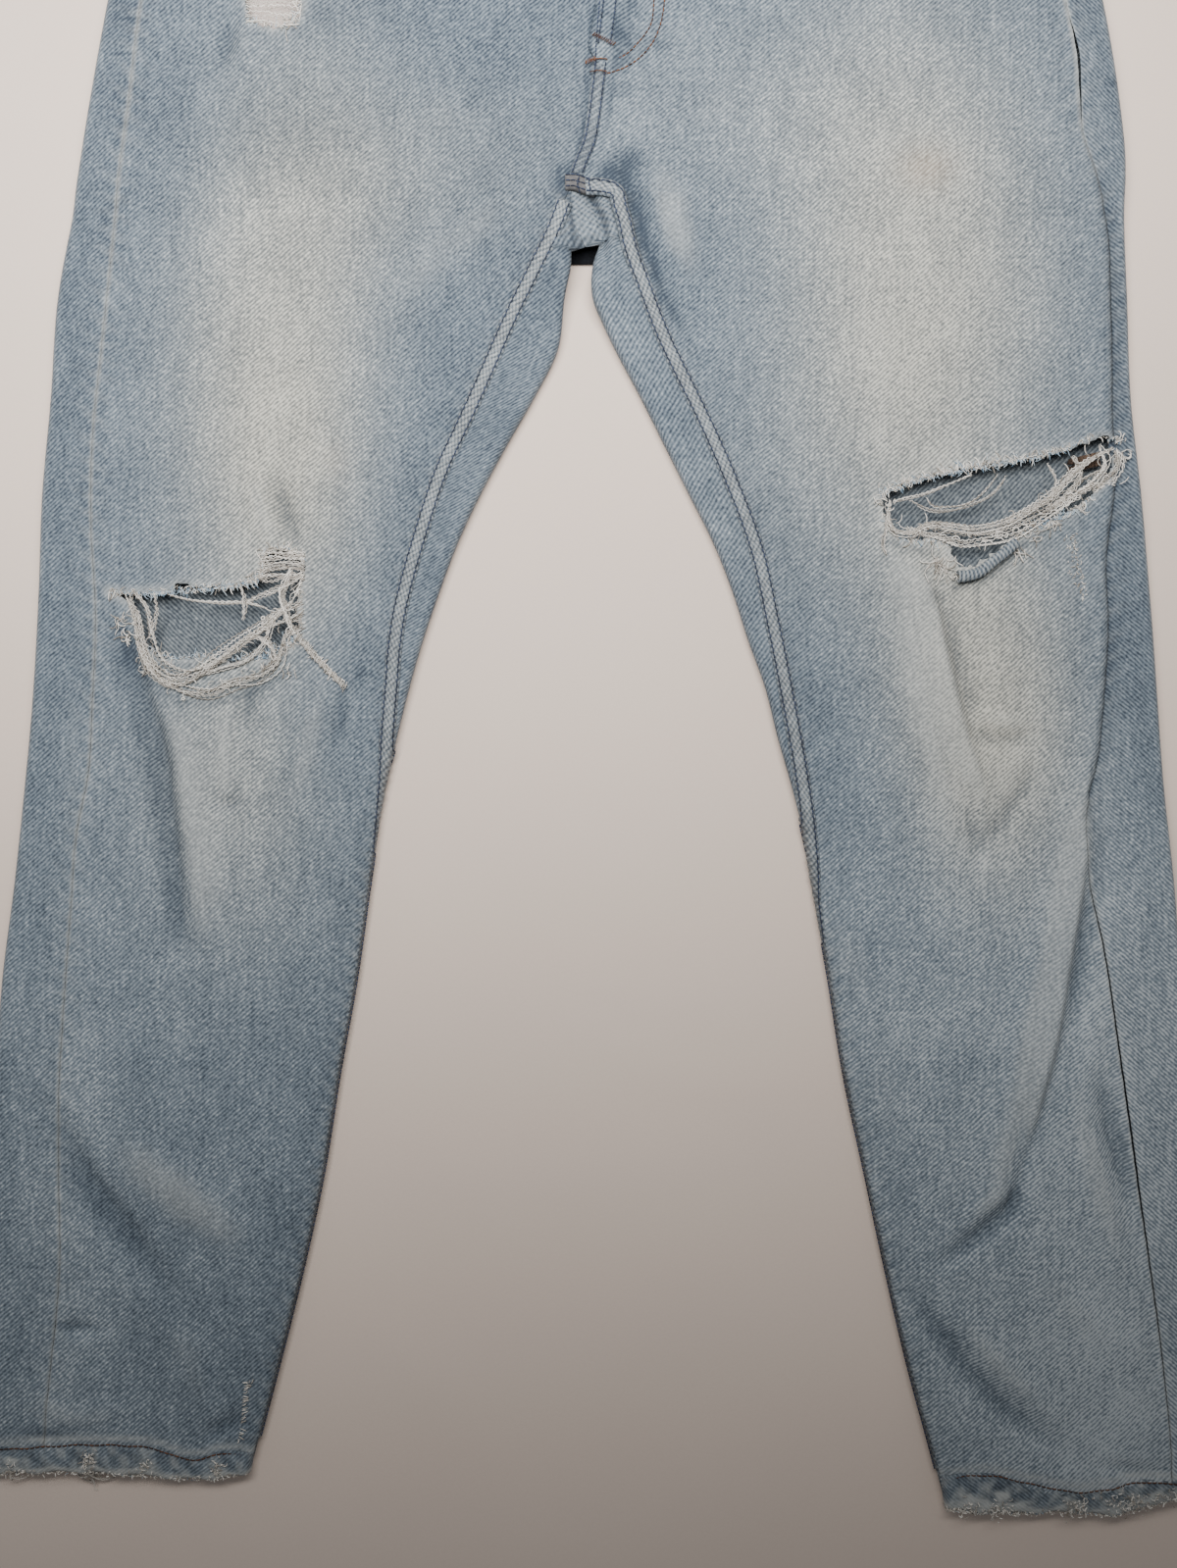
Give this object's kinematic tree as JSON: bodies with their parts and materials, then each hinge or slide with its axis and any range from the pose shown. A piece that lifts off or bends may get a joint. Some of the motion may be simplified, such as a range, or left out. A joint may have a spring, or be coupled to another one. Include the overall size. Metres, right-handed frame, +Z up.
{
  "type": "ripped jeans",
  "caption": "Light-wash ripped denim jeans laid flat with the front up: tapered legs, torn knees with loose threads, felled seams, frayed hems, waistband, fly and patch pockets.",
  "frame": {"origin": "on the table, under the middle of the garment's whole box", "axes": "+Y from the hems to the waist, +X towards the garment's own left leg, +Z up off the table"},
  "size_m": [0.7194, 1.069, 0.0204],
  "materials": {
    "denim": "faded, worn twill",
    "denim_back": "blue, less faded twill",
    "denim_seam": "puckered twill with worn ridges",
    "thread": "loose undyed weft",
    "stitching": "matt sewing thread",
    "cotton": "plain pocket cotton",
    "brass": "dull zip teeth",
    "button_metal": "worn antique copper"
  },
  "bodies": {
    "root": {"front_right": "denim", "front_left": "denim", "back_right": "denim_back", "back_left": "denim_back", "yoke_right": "denim_back", "yoke_left": "denim_back", "hem_right": "denim_seam", "hem_left": "denim_seam", "inseam_right": "denim_seam", "inseam_left": "denim_seam", "front_rise": "denim_seam", "pocket_facing_right": "denim_back", "pocket_facing_left": "denim_back", "pocket_bag_right": "cotton", "pocket_bag_left": "cotton", "back_pocket_right": "denim_back", "back_pocket_left": "denim_back", "fly_shield": "denim_back", "zip": "brass", "waistband": "denim_seam", "belt_loop_front_right": "denim_seam", "belt_loop_front_left": "denim_seam", "belt_loop_back_right": "denim_seam", "belt_loop_back_centre": "denim_seam", "belt_loop_back_left": "denim_seam", "waist_button": "button_metal", "torn_flap_left": "denim"}
  },
  "joints": []
}
